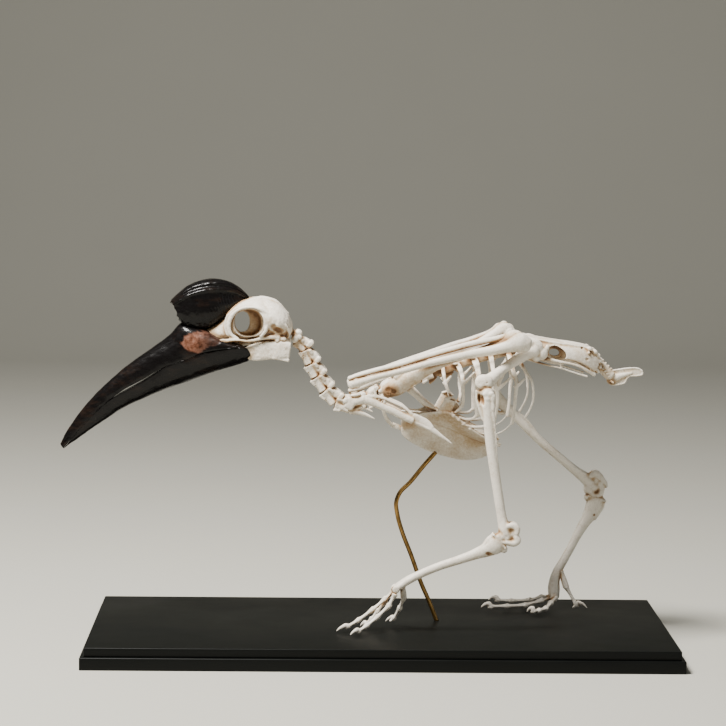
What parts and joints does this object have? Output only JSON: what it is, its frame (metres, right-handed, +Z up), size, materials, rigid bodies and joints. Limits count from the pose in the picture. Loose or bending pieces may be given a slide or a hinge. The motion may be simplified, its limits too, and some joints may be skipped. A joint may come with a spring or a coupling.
{
  "type": "mounted bird skeleton",
  "caption": "Life-size skeleton of a walking ground hornbill with black bill and open casque, on a black stepped base with a bent brass rod.",
  "frame": {"origin": "centre of the base's underside", "axes": "+Z up, +X from the bill towards the tail along the base's long side, +Y towards the bird's right side"},
  "size_m": [0.694, 0.309, 0.413],
  "materials": {
    "bone": "dry bleached bone, matt",
    "horn": "polished black horn with brown mottling and one rust-coloured patch",
    "base": "satin black paint",
    "brass": "aged satin brass"
  },
  "bodies": {
    "root": {"alula_left": "bone", "alula_right": "bone", "base_lower_step": "base", "base_upper_step": "base", "carpometacarpus_left": "bone", "carpometacarpus_right": "bone", "casque": "horn", "coracoid_left": "bone", "coracoid_right": "bone", "femur_left": "bone", "femur_right": "bone", "furcula": "bone", "humerus_left": "bone", "humerus_right": "bone", "lower_bill": "horn", "mandible_left": "bone", "mandible_right": "bone", "neck_vertebra_01": "bone", "neck_vertebra_02": "bone", "neck_vertebra_03": "bone", "neck_vertebra_04": "bone", "neck_vertebra_05": "bone", "neck_vertebra_06": "bone", "neck_vertebra_07": "bone", "neck_vertebra_08": "bone", "neck_vertebra_09": "bone", "neck_vertebra_10": "bone", "neck_vertebra_11": "bone", "neck_vertebra_12": "bone", "neck_vertebra_13": "bone", "pelvis": "bone", "pygostyle": "bone", "radius_left": "bone", "radius_right": "bone", "rib_cage_left": "bone", "rib_cage_right": "bone", "scapula_left": "bone", "scapula_right": "bone", "skull": "bone", "sternum": "bone", "support_rod": "brass", "tail_vertebrae": "bone", "tarsometatarsus_left": "bone", "tarsometatarsus_right": "bone", "tibiotarsus_left": "bone", "tibiotarsus_right": "bone", "toe_left_inner": "bone", "toe_left_middle": "bone", "toe_left_outer": "bone", "toe_left_rear": "bone", "toe_right_inner": "bone", "toe_right_middle": "bone", "toe_right_outer": "bone", "toe_right_rear": "bone", "ulna_left": "bone", "ulna_right": "bone", "upper_bill": "horn", "wing_digit_left": "bone", "wing_digit_right": "bone"}
  },
  "joints": []
}
